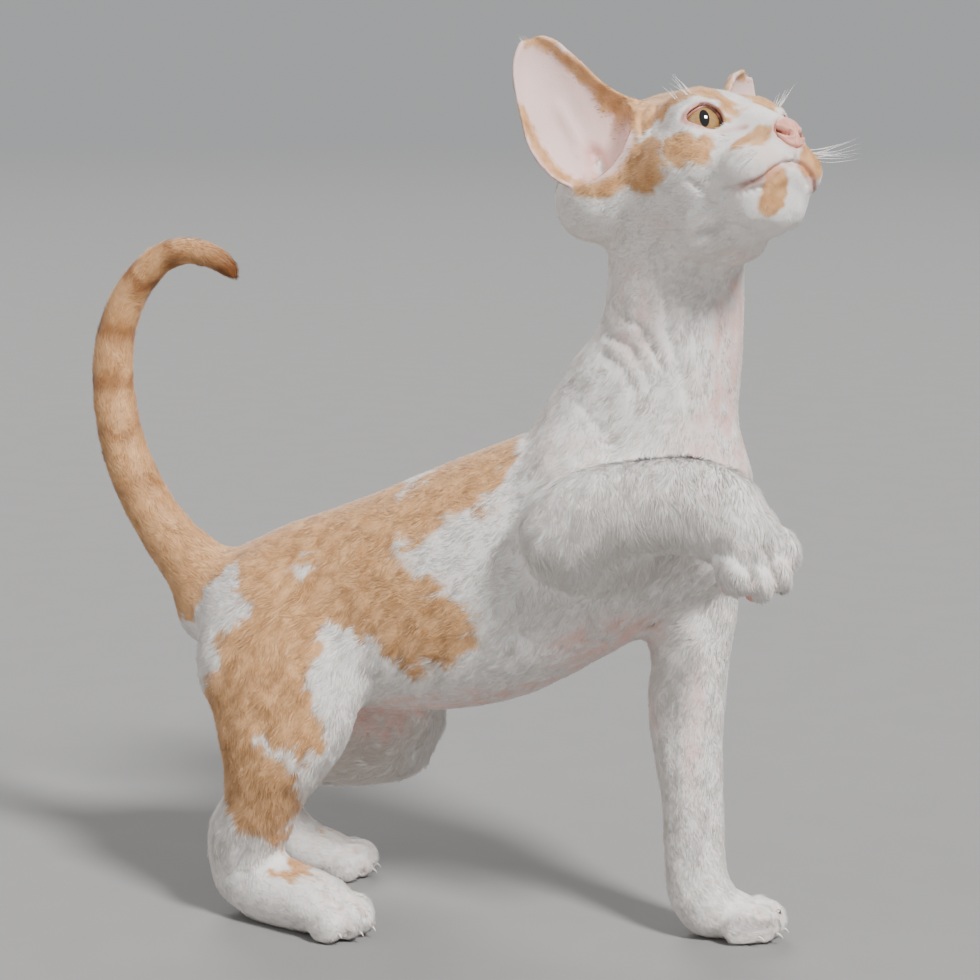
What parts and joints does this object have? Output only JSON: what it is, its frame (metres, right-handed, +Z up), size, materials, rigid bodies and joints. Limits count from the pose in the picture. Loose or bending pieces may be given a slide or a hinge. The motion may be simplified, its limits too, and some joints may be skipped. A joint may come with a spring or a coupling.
{
  "type": "devon rex cat",
  "caption": "Standing devon rex kitten with large ears, long neck, one forepaw raised, head turned up to its right and tail curled up",
  "frame": {"origin": "centre of the bounding box, at floor level", "axes": "+X the way the kitten's body faces and its longest run from tail to paw, +Y its left side, +Z up"},
  "size_m": [0.324, 0.1408, 0.3699],
  "materials": {
    "head": "short velvety coat",
    "nose": "moist leathery skin",
    "ear_right": "thin skin, sparse down",
    "ear_left": "thin skin, sparse down",
    "eye_right": "wet, glossy",
    "eye_left": "wet, glossy",
    "neck": "short coat over pink skin",
    "torso": "short waved coat",
    "tail_base": "short coat",
    "tail_middle": "short coat",
    "tail_end": "short coat",
    "thigh_right": "short waved coat",
    "thigh_left": "short waved coat",
    "shank_right": "short waved coat",
    "shank_left": "short waved coat",
    "foot_right": "short coat",
    "foot_left": "short coat",
    "upper_arm_right": "short waved coat",
    "upper_arm_left": "short coat over pink skin",
    "forearm_right": "short waved coat",
    "forearm_left": "short waved coat",
    "forepaw_right": "short coat",
    "forepaw_left": "short coat"
  },
  "bodies": {
    "root": {"head": "head", "nose": "nose", "ear_right": "ear_right", "ear_left": "ear_left", "eye_right": "eye_right", "eye_left": "eye_left", "neck": "neck", "torso": "torso", "tail_base": "tail_base", "tail_middle": "tail_middle", "tail_end": "tail_end", "thigh_right": "thigh_right", "thigh_left": "thigh_left", "shank_right": "shank_right", "shank_left": "shank_left", "foot_right": "foot_right", "foot_left": "foot_left", "upper_arm_right": "upper_arm_right", "upper_arm_left": "upper_arm_left", "forearm_right": "forearm_right", "forearm_left": "forearm_left", "forepaw_right": "forepaw_right", "forepaw_left": "forepaw_left"}
  },
  "joints": []
}
